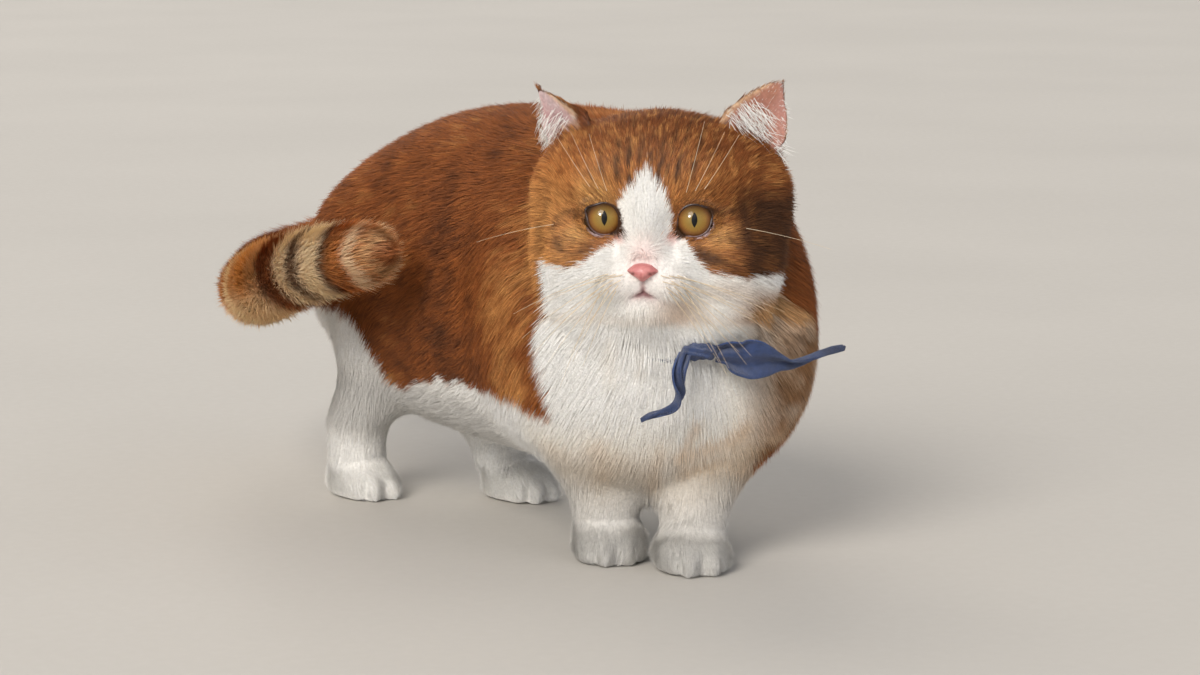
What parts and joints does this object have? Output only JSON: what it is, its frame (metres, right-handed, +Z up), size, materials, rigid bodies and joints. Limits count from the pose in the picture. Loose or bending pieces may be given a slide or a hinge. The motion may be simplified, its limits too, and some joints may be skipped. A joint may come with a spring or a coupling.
{
  "type": "munchkin cat",
  "caption": "Life-size still model of a short-legged red tabby and white cat standing and looking round, in a small knotted neck scarf.",
  "frame": {"origin": "on the ground under the middle of the whole animal's box", "axes": "+Z up, the cat heads towards -Y, its left side towards +X"},
  "size_m": [0.1953, 0.4186, 0.2251],
  "materials": {
    "coat": "short dense fur, red tabby and white",
    "bare_skin": "moist pink skin",
    "eye": "clear glossy amber eye with a slit pupil",
    "cloth": "worn blue denim weave"
  },
  "bodies": {
    "root": {"eye_left": "eye", "eye_right": "eye", "nose": "bare_skin", "head": "coat", "ear_left": "coat", "ear_right": "coat", "neck": "coat", "chest": "coat", "belly": "coat", "rump": "coat", "leg_front_right": "coat", "leg_front_left": "coat", "leg_hind_right": "coat", "leg_hind_left": "coat", "paw_front_right": "coat", "paw_front_left": "coat", "paw_hind_right": "coat", "paw_hind_left": "coat", "tail_1": "coat", "tail_2": "coat", "tail_3": "coat", "tail_4": "coat", "scarf_band": "cloth", "scarf_knot": "cloth", "scarf_end_hanging": "cloth", "scarf_end_loose": "cloth"}
  },
  "joints": []
}
